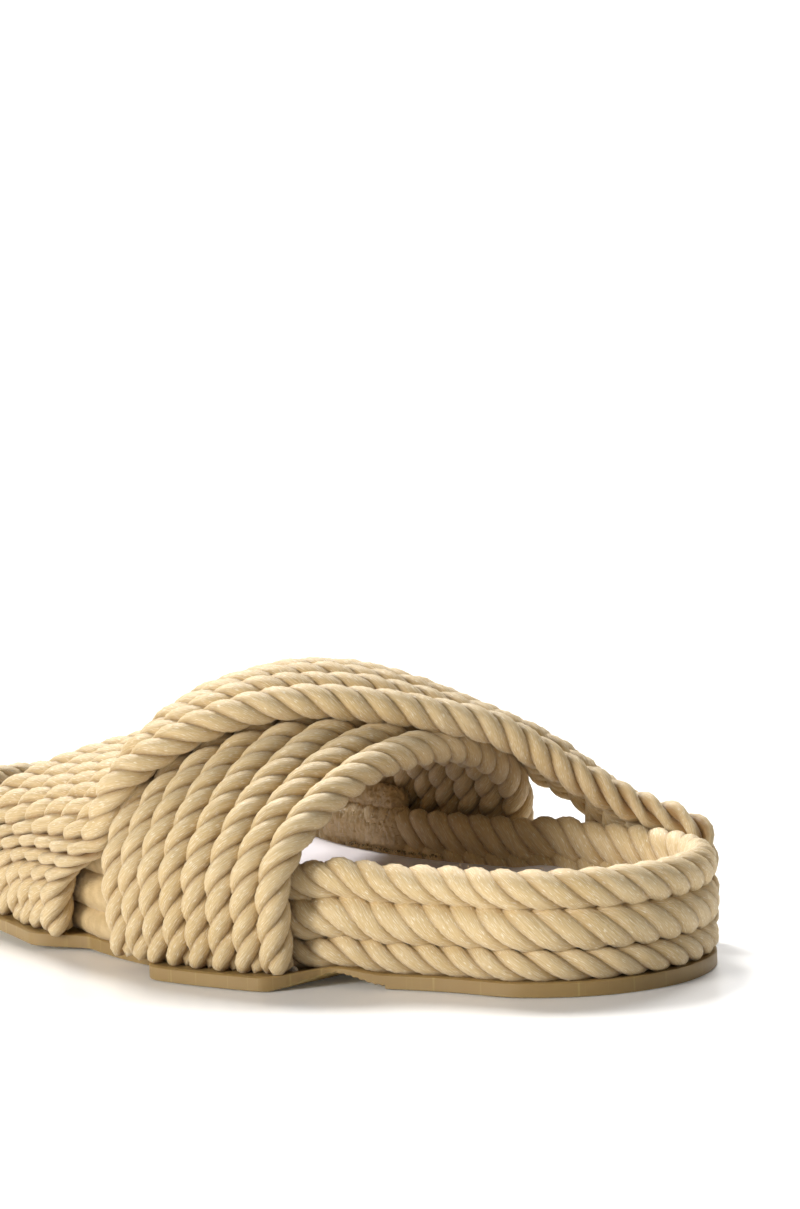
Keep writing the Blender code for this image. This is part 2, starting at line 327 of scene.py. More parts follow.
@dataclass
class Strap:
    """A strap's path: turns from the lateral end, its middle as a share of the length, its pitch."""

    rows: tuple[tuple[float, float, float], ...]
    lifted: bool
    phase_step: float
    ropes: int = 8

    def middle(self, sole: Sole, turn: Array) -> tuple[Array, Array]:
        """Place of the strap's middle along the sole and its ropes' spacing.

        Args:
            sole: The sole that the shares are of.
            turn: Places round the foot, 0 at the lateral end.

        Returns:
            The middle's y and the spacing along the sole, in metres.
        """
        turns = [row[0] for row in self.rows]
        along = spline(turns, [row[1] * sole.length for row in self.rows], turn)
        pitch = spline(turns, [row[2] * sole.rope for row in self.rows], turn)
        return along, pitch


LOWER = Strap(
    rows=(
        (0.00, 0.382, 0.835), (0.15, 0.384, 0.865), (0.30, 0.378, 0.890),
        (0.50, 0.393, 0.940), (0.70, 0.420, 0.940), (0.85, 0.428, 0.840),
        (1.00, 0.428, 0.760),
    ),
    lifted=False, phase_step=0.35,
)
UPPER = Strap(
    rows=(
        (0.00, 0.705, 0.80), (0.15, 0.688, 0.93), (0.22, 0.645, 1.02),
        (0.30, 0.615, 1.08), (0.50, 0.450, 1.30), (0.65, 0.298, 1.03),
        (0.77, 0.186, 0.62), (0.88, 0.170, 0.57), (1.00, 0.170, 0.57),
    ),
    lifted=True, phase_step=0.9,
)


@dataclass
class RopeLine:
    """The middle of a rope: its points, the way out of the strap or wall, and its squash."""

    points: Array
    out: Array
    wide: Array
    thick: Array
    closed: bool = False

    def whole(self) -> RopeLine:
        """The line with its first point again at its end, where it is closed.

        Returns:
            That line.
        """
        if not self.closed:
            return self
        parts = (self.points, self.out, self.wide, self.thick)
        return RopeLine(*(np.concatenate([part, part[:1]]) for part in parts), closed=True)


@dataclass
class Last:
    """The foot's form that the straps go over."""

    sole: Sole
    height: float = 0.048
    # how the upper strap is lifted over the lower one, in ropes from the lower strap's middle
    lift_full: float = 3.5
    lift_front: float = 5.3
    lift_rear: float = 9.0
    free_lateral: tuple[float, float] = (0.04, 0.20)
    free_medial: tuple[float, float] = (0.74, 0.88)
    # how full a rope fills its spacing, and the least and most that it is squeezed to
    fill: float = 1.04
    squeeze: tuple[float, float] = (0.62, 1.06)
    # turn, reach in halves of the width, rise in rope walls, rise in instep heights over the wall
    section: tuple[tuple[float, float, float, float], ...] = (
        (0.00, 1.000, 0.00, 0.00), (0.10, 1.015, 0.45, 0.00), (0.20, 1.020, 0.92, 0.02),
        (0.26, 0.965, 1.00, 0.20), (0.32, 0.850, 1.00, 0.45), (0.38, 0.630, 1.00, 0.72),
        (0.44, 0.330, 1.00, 0.93), (0.50, 0.000, 1.00, 1.00),
    )
    instep: tuple[tuple[float, float], ...] = (
        (0.08, 0.53), (0.15, 0.67), (0.21, 0.79), (0.25, 0.88), (0.30, 0.98), (0.36, 1.09),
        (0.42, 1.14), (0.50, 1.06), (0.60, 0.92), (0.72, 0.84), (0.86, 0.76),
    )

    def __post_init__(self) -> None:
        """Set the line that the straps' middles stand on."""
        stand = self.sole.rope / 2 + 2 * self.sole.clearance
        self.foot = self.sole.wall().offset(stand)

    def point(self, turn: Array, y: Array, lift: Array) -> Array:
        """Points on the last.

        Args:
            turn: Places round the foot.
            y: Places along the sole.
            lift: How far off the last they lie.

        Returns:
            One point for each turn.
        """
        folded = np.where(turn > 0.5, 1.0 - turn, turn)
        lateral = self.foot.edge(Side.LATERAL, y)
        medial = self.foot.edge(Side.MEDIAL, y)
        half = (medial - lateral) / 2
        turns = [row[0] for row in self.section]
        reach = spline(turns, [row[1] for row in self.section], folded)
        instep = self.height * spline([row[0] * self.sole.length for row in self.instep],
                                      [row[1] for row in self.instep], y)
        wall = self.sole.wall_top
        rise = wall * spline(turns, [row[2] for row in self.section], folded)
        rise = rise + (instep - wall) * spline(turns, [row[3] for row in self.section], folded)
        side = np.where(turn > 0.5, 1.0, -1.0)
        across = side * half * reach
        point = np.stack([(medial + lateral) / 2 + across, y, self.sole.seat(y) + rise], -1)
        away = unit(np.stack([across, np.zeros_like(across), rise], -1))
        return point + away * np.reshape(lift, (-1, 1))

    def surface(self, strap: Strap, turn: Array, place: float) -> Array:
        """Points of a strap's middle surface.

        Args:
            strap: The strap.
            turn: Places round the foot.
            place: How many ropes in front of the strap's middle.

        Returns:
            One point for each turn.
        """
        along, pitch = strap.middle(self.sole, turn)
        y = along + pitch * place
        lift = np.zeros_like(turn)
        if strap.lifted:
            under, spacing = LOWER.middle(self.sole, turn)
            ropes = (y - under) / spacing
            over = 1.0 - ramp(ropes, self.lift_full, self.lift_front)
            over = over * (1.0 - ramp(-ropes, self.lift_full, self.lift_rear))
            free = ramp(turn, *self.free_lateral) * (1.0 - ramp(turn, *self.free_medial))
            lift = self.sole.rope * over * free
        return self.point(turn, y, lift)

    def rope_line(self, strap: Strap, number: int, count: int) -> RopeLine:
        """The line of one of a strap's ropes.

        Args:
            strap: The strap.
            number: The rope's number from the rear edge.
            count: How many points it gets.

        Returns:
            The line, evenly spaced.
        """
        place = number - (strap.ropes - 1) / 2
        turn = np.linspace(0.0, 1.0, count * 2)
        passed = arc_length(self.surface(strap, turn, place))
        turn = np.interp(np.linspace(0.0, 1.0, count), passed / passed[-1], turn)
        points = self.surface(strap, turn, place)
        rear = self.surface(strap, turn, place - 0.5)
        front = self.surface(strap, turn, place + 0.5)
        along = tangents(points)
        across = square_to(front - rear, along)
        out = unit(np.cross(along, across))
        spacing = np.linalg.norm(across, axis=1) / self.sole.rope
        wide = np.clip(spacing * self.fill, *self.squeeze)
        return RopeLine(points, out, wide, np.full(count, 1.0))


def deselect_all() -> None:
    """Leave nothing selected."""
    bpy.ops.object.select_all(action="DESELECT")


def active_only(obj: Thing) -> None:
    """Select one object alone and make it active.

    Args:
        obj: The object.
    """
    deselect_all()
    obj.select_set(True)
    bpy.context.view_layer.objects.active = obj


def open_mesh(obj: Thing) -> None:
    """Open one object alone in edit mode, with all of it selected.

    Args:
        obj: The object.
    """
    active_only(obj)
    bpy.ops.object.mode_set(mode="EDIT")
    bpy.ops.mesh.select_all(action="SELECT")


def close_mesh(smooth: float) -> None:
    """Turn the open mesh's faces outwards and shade its edges smooth up to an angle in degrees.

    Args:
        smooth: The angle.
    """
    bpy.ops.mesh.select_all(action="SELECT")
    bpy.ops.mesh.normals_make_consistent(inside=False)
    bpy.ops.object.mode_set(mode="OBJECT")
    bpy.ops.object.shade_smooth_by_angle(angle=math.radians(smooth))


def wrapped_sheet(name: str, points: Array, uv: Array) -> Thing:
    """A grid primitive laid over rows of points.

    Args:
        name: The new object's name.
        points: Rows by columns of places.
        uv: Rows by columns of the map's u and v.

    Returns:
        The mesh object, with a UV map.
    """
    rows, columns = points.shape[:2]
    deselect_all()
    bpy.ops.mesh.primitive_grid_add(
        x_subdivisions=columns - 1, y_subdivisions=rows - 1, size=2.0, location=(0, 0, 0))
    obj = bpy.context.object
    obj.name = name
    mesh = obj.data
    mesh.name = name
    flat = np.empty(len(mesh.vertices) * 3)
    mesh.vertices.foreach_get("co", flat)
    flat = flat.reshape(-1, 3)
    column = np.rint((flat[:, 0] + 1) / 2 * (columns - 1)).astype(int)
    row = np.rint((flat[:, 1] + 1) / 2 * (rows - 1)).astype(int)
    mesh.vertices.foreach_set("co", points[row, column].ravel())
    corner = np.empty(len(mesh.loops), int)
    mesh.loops.foreach_get("vertex_index", corner)
    mesh.uv_layers[0].name = "UVMap"
    mesh.uv_layers[0].data.foreach_set("uv", uv[row[corner], column[corner]].ravel())
    mesh.update()
    return obj


def tube(name: str, rings: Array, place: Array, number: int = 0) -> Thing:
    """A closed tube through rings of points.

    Args:
        name: The tube's name.
        rings: Rings by points by three, the last point of each ring as its first.
        place: Distance of the rings along the tube.
        number: A whole number that tells its pattern from the others'.

    Returns:
        The mesh, mapped along its length and once round it.
    """
    rows, columns = rings.shape[:2]
    u = np.repeat((place * MAP_SCALE)[:, None], columns, axis=1)
    around = np.linspace(0.0, 2 * math.pi, columns) / (2 * math.pi)
    v = np.repeat((number + around)[None, :], rows, axis=0)
    obj = wrapped_sheet(name, rings, np.stack([u, v], -1))
    open_mesh(obj)
    bpy.ops.mesh.remove_doubles(threshold=MERGE)
    bpy.ops.mesh.dissolve_degenerate(threshold=MERGE / 2)
    close_mesh(smooth=60)
    return obj


def joined(name: str, parts: list[Thing]) -> Thing:
    """Join mesh objects into one.

    Args:
        name: The name of the result.
        parts: The objects, at least one.

    Returns:
        The joined object.
    """
    deselect_all()
    for part in parts:
        part.select_set(True)
    bpy.context.view_layer.objects.active = parts[0]
    if len(parts) > 1:
        bpy.ops.object.join()
    obj = bpy.context.object
    obj.name = name
    obj.data.name = name
    return obj


def thin_tubes(name: str, lines: Array, radius: float, sides: int = 3, tip: float = 0.4) -> Thing:
    """Thin tubes along many short lines, in one mesh.

    Args:
        name: The mesh's name.
        lines: Lines by points by three.
        radius: The tubes' radius at their roots.
        sides: How many sides a tube has.
        tip: The radius at their tips, as a share.

    Returns:
        The mesh object, with a UV map.
    """
    count, steps = lines.shape[:2]
    along = unit(np.gradient(lines, axis=1))
    aside = unit(np.cross(along, ASKEW))
    other = np.cross(along, aside)
    taper = np.linspace(1.0, tip, steps)[None, :, None] * radius
    turns = [2 * math.pi * k / sides for k in range(sides)]
    rings = [lines + (aside * math.cos(a) + other * math.sin(a)) * taper for a in turns]
    vertices = np.stack(rings, axis=2).reshape(-1, 3)
    faces = []
    for line in range(count):
        first, last = line * steps * sides, ((line + 1) * steps - 1) * sides
        for base in range(first, last, sides):
            nexts = [(base + k, base + (k + 1) % sides) for k in range(sides)]
            faces += [(a, b, b + sides, a + sides) for a, b in nexts]
        faces += [tuple(range(first + sides - 1, first - 1, -1)), tuple(range(last, last + sides))]
    mesh = bpy.data.meshes.new(name)
    mesh.from_pydata(vertices.tolist(), [], faces)
    mesh.uv_layers.new(name="UVMap")
    obj = bpy.data.objects.new(name, mesh)
    bpy.context.scene.collection.objects.link(obj)
    return obj


@dataclass
class Fuzz:
    """Fine fibres that stand off a mesh."""

    count: int
    length: float
    radius: float
    seed: int
    stand: float = 0.35
    shortest: float = 0.4
    curl: float = 0.6
    places: tuple[float, ...] = (-0.1, 0.3, 0.65, 1.0)

    def over(self, name: str, source: Thing) -> Thing:
        """Grow them on a mesh.

        Args:
            name: The fibres' name.
            source: The mesh, whose vertices they start from.

        Returns:
            The fibres as one mesh object.
        """
        picks = np.random.default_rng(self.seed)
        vertices = source.data.vertices
        lines = []
        for index in picks.integers(0, len(vertices), self.count):
            vertex = vertices[int(index)]
            lean = Vector(picks.normal(0.0, 1.0, 3)).normalized()
            heading = (vertex.normal * self.stand + lean * (1 - self.stand)).normalized()
            curl = Vector(picks.normal(0.0, 1.0, 3)).normalized()
            size = self.length * picks.uniform(self.shortest, 1.0)
            lines.append([vertex.co + heading * size * t + curl * size * t * t * self.curl
                          for t in self.places])
        return thin_tubes(name, np.array(lines), self.radius)


@dataclass
class TwistedRope:
    """Three-strand rope: its diameter, its lay and how finely it is meshed."""

    diameter: float
    lay_length: float
    hand: Lay = Lay.RIGHT
    strands: int = 3
    sides: int = 14
    core: float = 0.50
    strand: float = 0.585
    end: float = 0.0024
    oval: float = 1.06
    # how far the inner lower side hangs down, where the footbed meets the wall
    sag: float = 0.0

    def wound(self, name: str, line: RopeLine, turns: float, phase: float, number: int) -> Thing:
        """One strand wound round the rope's middle.

        Args:
            name: The strand's name.
            line: The rope's middle, whole.
            turns: How many times the strand goes round it.
            phase: Where it starts, in radians.
            number: A whole number that tells its pattern from the others'.

        Returns:
            The strand as a closed mesh.
        """
        points, wide, thick = line.points, line.wide, line.thick
        place = arc_length(points)
        along = tangents(points, line.closed)
        out = unit(square_to(line.out, along))
        side = np.cross(along, out)
        radius = self.diameter / 2
        angle = phase + self.hand.value * 2 * math.pi * turns * place / place[-1]
        away = out * (np.cos(angle) * thick)[:, None] + side * (np.sin(angle) * wide)[:, None]
        middle = points + away * radius * self.core
        run = tangents(middle, line.closed)
        crown = unit(square_to(away, run))
        across = np.cross(run, crown)
        size = np.full(len(points), 1.0)
        if not line.closed:
            near = np.minimum(place, place[-1] - place) / self.end
            size = np.sqrt(np.clip(1 - (1 - np.clip(near, 0, 1)) ** 2, 0, 1))
        squash = thick * np.cos(angle) ** 2 + wide * np.sin(angle) ** 2
        turn = np.linspace(0.0, 2 * math.pi, self.sides + 1)
        ring = (crown[:, None, :] * (np.cos(turn)[None, :] * squash[:, None])[..., None]
                + across[:, None, :] * (np.sin(turn)[None, :] * self.oval * wide[:, None])[..., None])
        body = middle[:, None, :] + ring * (radius * self.strand * size)[:, None, None]
        away = body - points[:, None, :]
        inner = np.clip(-np.sum(away * out[:, None, :], axis=2) / radius, 0, 1)
        below = np.clip(-away[..., 2] / radius, 0, 1)
        body[..., 2] -= self.sag * ramp(inner, 0.0, 0.5) * below
        return tube(name, body, place, number)

    def rope(self, name: str, line: RopeLine, phase: float, number: int) -> list[Thing]:
        """All the strands of one rope.

        Args:
            name: The rope's name.
            line: Its middle.
            phase: Where its first strand starts, in radians.
            number: A whole number that tells its pattern from the others'.

        Returns:
            The strands.
        """
        line = line.whole()
        turns = arc_length(line.points)[-1] / self.lay_length
        if line.closed:
            turns = round(turns)
        step = 2 * math.pi / self.strands
        return [self.wound(f"{name}_strand_{k + 1}", line, turns, phase + k * step,
                           number * self.strands + k) for k in range(self.strands)]


class Value:
    """A shader socket that takes part in sums as a number does."""

    def __init__(self, graph: Graph, socket: Socket) -> None:
        """Keep the socket.

        Args:
            graph: The node graph that it belongs to.
            socket: The output socket.
        """
        self.graph = graph
        self.socket = socket

    def _maths(self, operation: str, *values: Value | float) -> Value:
        """Add a Math node for an operation on values."""
        node = self.graph.node("ShaderNodeMath", {"operation": operation}, dict(enumerate(values)))
        return Value(self.graph, node.outputs[0])

    def __add__(self, other: Value | float) -> Value:
        """Sum."""
        return self._maths("ADD", self, other)

    __radd__ = __add__

    def __sub__(self, other: Value | float) -> Value:
        """Difference."""
        return self._maths("SUBTRACT", self, other)

    def __rsub__(self, other: float) -> Value:
        """Difference, reflected."""
        return self._maths("SUBTRACT", other, self)

    def __mul__(self, other: Value | float) -> Value:
        """Product."""
        return self._maths("MULTIPLY", self, other)

    __rmul__ = __mul__

    def fraction(self) -> Value:
        """The part after the point."""
        return self._maths("FRACT", self)

    def size(self) -> Value:
        """The value without its sign."""
        return self._maths("ABSOLUTE", self)

    def wave(self) -> Value:
        """Its sine."""
        return self._maths("SINE", self)

    def between(self, low: float, high: float) -> Value:
        """0 at low and below, 1 at high and above, smooth between.

        Args:
            low: Where it starts.
            high: Where it ends.

        Returns:
            The value.
        """
        node = self.graph.node(
            "ShaderNodeMapRange", {"interpolation_type": "SMOOTHSTEP"},
            {"Value": self, "From Min": low, "From Max": high, "To Min": 0.0, "To Max": 1.0})
        return Value(self.graph, node.outputs[0])


class Graph:
    """The node graph of one material."""

    def __init__(self, name: str) -> None:
        """Start a material.

        Args:
            name: Its name.
        """
        self.material = bpy.data.materials.new(name)
        self.material.use_nodes = True
        self.tree = self.material.node_tree
        self.shader = self.tree.nodes["Principled BSDF"]

    def node(self, kind: str, settings: dict[str, object], inputs: dict) -> bpy.types.Node:
        """Add a node.

        Args:
            kind: Its type.
            settings: Properties, which are set first.
            inputs: Values or links by socket name or number.

        Returns:
            The node.
        """
        node = self.tree.nodes.new(kind)
        for key, value in settings.items():
            setattr(node, key, value)
        for key, value in inputs.items():
            self.feed(node.inputs[key], value)
        return node

    def feed(self, socket: Socket, value: object) -> None:
        """Give a socket a value, a colour or a link.

        Args:
            socket: The socket.
            value: What it gets.
        """
        if isinstance(value, Value):
            self.tree.links.new(value.socket, socket)
        elif isinstance(value, Socket):
            self.tree.links.new(value, socket)
        elif isinstance(value, tuple) and socket.type == "RGBA":
            socket.default_value = (*value, 1.0)
        else:
            socket.default_value = value

    def uv(self) -> tuple[Value, Value]:
        """The piece's own UV map, as two values."""
        source = self.node("ShaderNodeUVMap", {"uv_map": "UVMap"}, {})
        split = self.node("ShaderNodeSeparateXYZ", {}, {0: source.outputs[0]})
        return Value(self, split.outputs[0]), Value(self, split.outputs[1])

    def place(self) -> tuple[Value, Value, Value]:
        """Object coordinates, as three values."""
        source = self.node("ShaderNodeTexCoord", {}, {})
        split = self.node("ShaderNodeSeparateXYZ", {}, {0: source.outputs["Object"]})
        return tuple(Value(self, split.outputs[k]) for k in range(3))

    def noise(self, at: tuple[Value | float, ...], scale: float = 1.0, detail: float = 2.0) -> Value:
        """Noise at a place.

        Args:
            at: Three values or numbers.
            scale: Its scale.
            detail: Its octaves.

        Returns:
            The noise, about 0.5 on average.
        """
        joint = self.node("ShaderNodeCombineXYZ", {}, dict(enumerate(at)))
        made = self.node("ShaderNodeTexNoise", {}, {
            "Vector": joint.outputs[0], "Scale": scale, "Detail": detail, "Roughness": 0.5})
        return Value(self, made.outputs[0])

    def mix(self, share: Value | float, first: object, second: object) -> Socket:
        """Blend two colours.

        Args:
            share: How much of the second.
            first: A colour or a link.
            second: A colour or a link.

        Returns:
            The blended colour.
        """
        node = self.tree.nodes.new("ShaderNodeMix")
        node.data_type = "RGBA"
        self.feed(node.inputs[0], share)
        self.feed(node.inputs[6], first)
        self.feed(node.inputs[7], second)
        return node.outputs[2]

    def bump(self, height: Value, depth: float, strength: float = 1.0) -> None:
        """Raise the surface by a height, as a normal.

        Args:
            height: The height.
            depth: How deep it is, in metres.
            strength: How strong it is.
        """
        made = self.node("ShaderNodeBump", {}, {
            "Height": height, "Distance": depth, "Strength": strength})
        self.feed(self.shader.inputs["Normal"], made.outputs[0])

    def settle(self, **values: object) -> Material:
        """Set the shader's own sockets, named with _ for a space, and return the material."""
        for key, value in values.items():
            self.feed(self.shader.inputs[key.replace("_", " ")], value)
        return self.material


@dataclass(frozen=True)
class RopeFinish:
    """Silky twisted rope: cream on the strands' crowns, honey-brown painted shade in the grooves
    between strands, and painted glints.
    """

    name: str = "silky_rope"
    crown: Colour = (0.78, 0.61, 0.355)
    body: Colour = (0.64, 0.455, 0.205)
    # painted shade: the honey-brown laid in the grooves between the strands
    groove_shade: Colour = (0.31, 0.165, 0.045)
    # painted highlight: near-white colour for glints of light on the fibres
    painted_glint: Colour = (0.95, 0.86, 0.68)
    yarns: float = 46.0
    slant: float = 0.16
    groove_shade_edge: tuple[float, float] = (0.20, 0.60)
    glinting: tuple[float, float] = (0.62, 0.74)
    relief: float = 0.00038

    def material(self) -> Material:
        """Build the material."""
        graph = Graph(self.name)
        along, around = graph.uv()
        # 1 on each strand's side that faces into the rope, where the strands meet; it carries the
        # painted groove shade
        inward = 1 - ((around.fraction() - 0.5).size() * 2)
        twist = around + along * self.slant
        yarn = graph.noise((along * 0.9, twist * self.yarns, 0.0))
        hair = graph.noise((along * 5.0, twist * self.yarns * 4.0, 3.0))
        cloud = graph.noise(graph.place(), 55.0)
        tone = graph.mix((cloud - 0.5) + (yarn - 0.5) * 1.9 + 0.42, self.body, self.crown)
        # painted glints: scattered near-white specks stand in for light sparkling on the fibres
        glint = graph.noise((along * 9.0, twist * self.yarns * 2.2, 7.0), detail=0.0)
        tone = graph.mix(glint.between(*self.glinting) * 0.75, tone, self.painted_glint)
        # painted shade: the groove colour over each strand's inward side, standing in for the shade
        # between strands
        colour = graph.mix(inward.between(*self.groove_shade_edge), tone, self.groove_shade)
        graph.bump(yarn * 0.6 + hair * 0.4, self.relief)
        return graph.settle(
            Base_Color=colour, Roughness=hair * 0.25 + 0.36, Sheen_Weight=0.35,
            Sheen_Roughness=0.4, Sheen_Tint=(1.0, 0.93, 0.80), Specular_IOR_Level=0.5)


@dataclass(frozen=True)
class FibreFinish:
    """Rope without its strands: glued flat or frayed."""

    name: str
    light: Colour = (0.64, 0.475, 0.245)
    dark: Colour = (0.46, 0.32, 0.145)

    def material(self) -> Material:
        """Build the material."""
        graph = Graph(self.name)
        x, y, z = graph.place()
        cloud = graph.noise((x, y, z), 260.0, 3.0)
        grain = graph.noise((x * 2600.0, y * 700.0, z * 2600.0))
        colour = graph.mix(cloud.between(0.35, 0.65) * 0.6 + grain * 0.4, self.dark, self.light)
        graph.bump(grain * 0.6 + cloud * 0.4, 0.0003, 0.6)
        return graph.settle(Base_Color=colour, Roughness=0.45, Sheen_Weight=0.2)


@dataclass(frozen=True)
class GlueFinish:
    """Hardened brown glue."""

    name: str = "brown_glue"
    light: Colour = (0.50, 0.38, 0.18)
    dark: Colour = (0.24, 0.16, 0.06)

    def material(self) -> Material:
        """Build the material."""
        graph = Graph(self.name)
        cloud = graph.noise(graph.place(), 900.0)
        colour = graph.mix(cloud.between(0.4, 0.6), self.dark, self.light)
        return graph.settle(Base_Color=colour, Roughness=0.3)


@dataclass(frozen=True)
class RubberFinish:
    """Tan outsole rubber, paler along its cut lower rim, with faint streaks down its side."""

    name: str = "tan_rubber"
    body: Colour = (0.28, 0.175, 0.062)
    pale: Colour = (0.44, 0.33, 0.125)
    rim_edge: tuple[float, float] = (0.86, 0.96)

    def material(self) -> Material:
        """Build the material."""
        graph = Graph(self.name)
        x, y, z = graph.place()
        streak = graph.noise((x * 900.0, y * 900.0, z * 25.0), detail=1.0)
        cloud = graph.noise((x, y, z), 90.0, 3.0)
        _, around = graph.uv()
        tone = graph.mix(streak.between(0.60, 0.78) * 0.5 + cloud * 0.25, self.body, self.pale)
        colour = graph.mix(around.between(*self.rim_edge) * 0.8, tone, self.pale)
        graph.bump(cloud + streak * 0.3, 0.00015, 0.5)
        return graph.settle(Base_Color=colour, Roughness=0.42, Subsurface_Weight=0.12,
                            Subsurface_Radius=(0.004, 0.0026, 0.0012), Subsurface_Scale=1.0)


@dataclass(frozen=True)
class FootbedFinish:
    """Pale grey-lavender textile, faintly woven."""

    name: str = "lavender_footbed"
    light: Colour = (0.78, 0.74, 0.79)
    dark: Colour = (0.66, 0.62, 0.66)

    def material(self) -> Material:
        """Build the material."""
        graph = Graph(self.name)
        x, y, z = graph.place()
        weave = ((x * 9000.0).wave() + (y * 9000.0).wave()) * 0.25 + 0.5
        cloud = graph.noise((x, y, z), 70.0, 3.0)
        colour = graph.mix(cloud * 0.7 + weave * 0.25, self.dark, self.light)
        graph.bump(weave, 0.00006, 0.5)
        return graph.settle(Base_Color=colour, Roughness=0.7, Sheen_Weight=0.2)


@dataclass(frozen=True)
class StudioFinish:
    """White studio paper that glows a little, so that it stays white in the picture."""

    name: str
    glow: float
    white: Colour = (0.95, 0.95, 0.95)

    def material(self) -> Material:
        """Build the material."""
        return Graph(self.name).settle(
            Base_Color=self.white, Roughness=0.30, Specular_IOR_Level=0.35,
            Emission_Color=(1.0, 1.0, 1.0), Emission_Strength=self.glow)


@dataclass
class Place:
    """Where the sections' own frame, laid out from the heel's back, lies in the row frame."""

    x: float
    y: float

    @classmethod
    def from_nodes(cls, sole: Sole) -> Place:
        """Find it from the middle rope course of the CAD.

        Args:
            sole: The sole.

        Returns:
            The shift in plan.
        """
        low, high = (Vector(corner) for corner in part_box("rope_course_middle"))
        loop = sole.wall().loop
        middle = (loop.min(axis=0) + loop.max(axis=0)) / 2
        return cls((low.x + high.x) / 2 - float(middle[0]), (low.y + high.y) / 2 - float(middle[1]))


@dataclass
class Section:
    """A part of the sandal, built on its sole, moved to its place and dressed in its finish."""

    sole: Sole
    place: Place
    material: Material

    def hand_over(self, obj: Thing, slot: str, *nodes: str,
                  material: Material | None = None) -> None:
        """Move a piece's mesh into the row frame, dress it, hang it under the root and hide the CAD
        nodes that it replaces.

        Args:
            obj: The piece.
            slot: The record's material slot; not used.
            nodes: The CAD nodes that it replaces.
            material: Its finish, where it isn't the section's own.
        """
        obj.data.transform(Matrix.Translation((self.place.x, self.place.y, 0.0)))
        obj.data.update()
        obj.data.materials.clear()
        obj.data.materials.append(material or self.material)
        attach(obj, "root")
        if nodes:
            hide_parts(*nodes)
        LOG.info("%s: %d faces", obj.name, len(obj.data.polygons))


@dataclass
class RopeWall(Section):
    """The three stacked turns of rope round the sole."""

    lay_share: float = 2.52
    points_per_turn: int = 15
    # how much taller the ropes are drawn than their spacing, so that they press together
    press: float = 1.07
    sag: float = 0.0024
    # the first turn's number among the ropes' patterns, and its hairs' seed
    pattern: int = 100
    seed: int = 50

    def line(self, number: int) -> RopeLine:
        """The closed middle of one turn of rope, numbered from the lowest.

        Args:
            number: The turn's number, from 0.

        Returns:
            The line.
        """
        rope = self.sole.rope
        course = self.sole.courses[number]
        low = sum(rope * under.height for under in self.sole.courses[:number])
        path = self.sole.wall().offset(-rope / 2)
        length = arc_length(np.vstack([path.loop, path.loop[:1]]))[-1]
        count = round(length / (self.lay_share * rope)) * self.points_per_turn
        path = path.resampled(count)
        z = self.sole.seat(path.loop[:, 1]) + low + course.height * rope / 2
        out = np.hstack([path.outward(), np.zeros((count, 1))])
        return RopeLine(np.hstack([path.loop, z[:, None]]), out,
                        np.full(count, course.height * self.press), np.full(count, course.width),
                        closed=True)

    def build(self) -> None:
        """Make and dress the three turns."""
        for number, course in enumerate(self.sole.courses):
            sag = self.sag if number == len(self.sole.courses) - 1 else 0.0
            rope = TwistedRope(self.sole.rope, self.lay_share * self.sole.rope, sag=sag)
            parts = rope.rope(course.node, self.line(number), course.phase, self.pattern + number)
            obj = joined(course.node.replace("rope_course", "wall_rope"), parts)
            hairs = Fuzz(count=700, length=0.0012, radius=0.00003, seed=self.seed + number, stand=0.5)
            self.hand_over(joined(obj.name, [obj, hairs.over("hairs", obj)]), course.node, course.node)


@dataclass(frozen=True)
class Lump:
    """A smooth or rough tube over a stretch of the wall's rope."""

    name: str
    side: Side
    start: float
    end: float
    radius: float = 0.0044
    taller: float = 1.0
    lower: float = 0.0
    inward: float = 0.0
    swell: float = 0.0004
    swell_scale: float = 160.0
    grain: float = 0.0
    grain_scale: float = 1400.0
    round_off: float = 0.004
    step: float = 0.0008
    sides: int = 28

    def stretch(self, line: RopeLine) -> RopeLine:
        """The part of a course's line that the tube covers.

        Args:
            line: The course's middle.

        Returns:
            The part of it.
        """
        y = line.points[:, 1]
        kept = (line.points[:, 0] * self.side.value > 0) & (y > self.start) & (y < self.end)
        points, out = line.points[kept], line.out[kept]
        count = int(arc_length(points)[-1] / self.step)
        points = points - out * self.inward - np.array([0.0, 0.0, self.lower])
        return RopeLine(respaced(points, count), unit(respaced(out, count)),
                        np.full(count, line.wide[0] * self.taller), np.full(count, line.thick[0]))

    def build(self, line: RopeLine) -> Thing:
        """Make the tube.

        Args:
            line: The middle of the course that it covers.

        Returns:
            The closed mesh.
        """
        part = self.stretch(line)
        place = arc_length(part.points)
        side = np.cross(tangents(part.points), part.out)
        near = np.clip(np.minimum(place, place[-1] - place) / self.round_off, 0, 1)
        size = self.radius * np.sqrt(1 - (1 - near) ** 2)
        turn = np.linspace(0.0, 2 * math.pi, self.sides + 1)
        away = (part.out[:, None, :] * np.outer(part.thick, np.cos(turn))[..., None]
                + side[:, None, :] * np.outer(part.wide, np.sin(turn))[..., None])
        body = part.points[:, None, :] + away * size[:, None, None]
        for row in range(1, len(body) - 1):
            for column in range(self.sides):
                spot = Vector(body[row, column])
                rise = self.swell * noise.noise(spot * self.swell_scale)
                rise += self.grain * noise.noise(spot * self.grain_scale)
                body[row, column] += away[row, column] * rise
            body[row, -1] = body[row, 0]
        return tube(self.name, body, place)


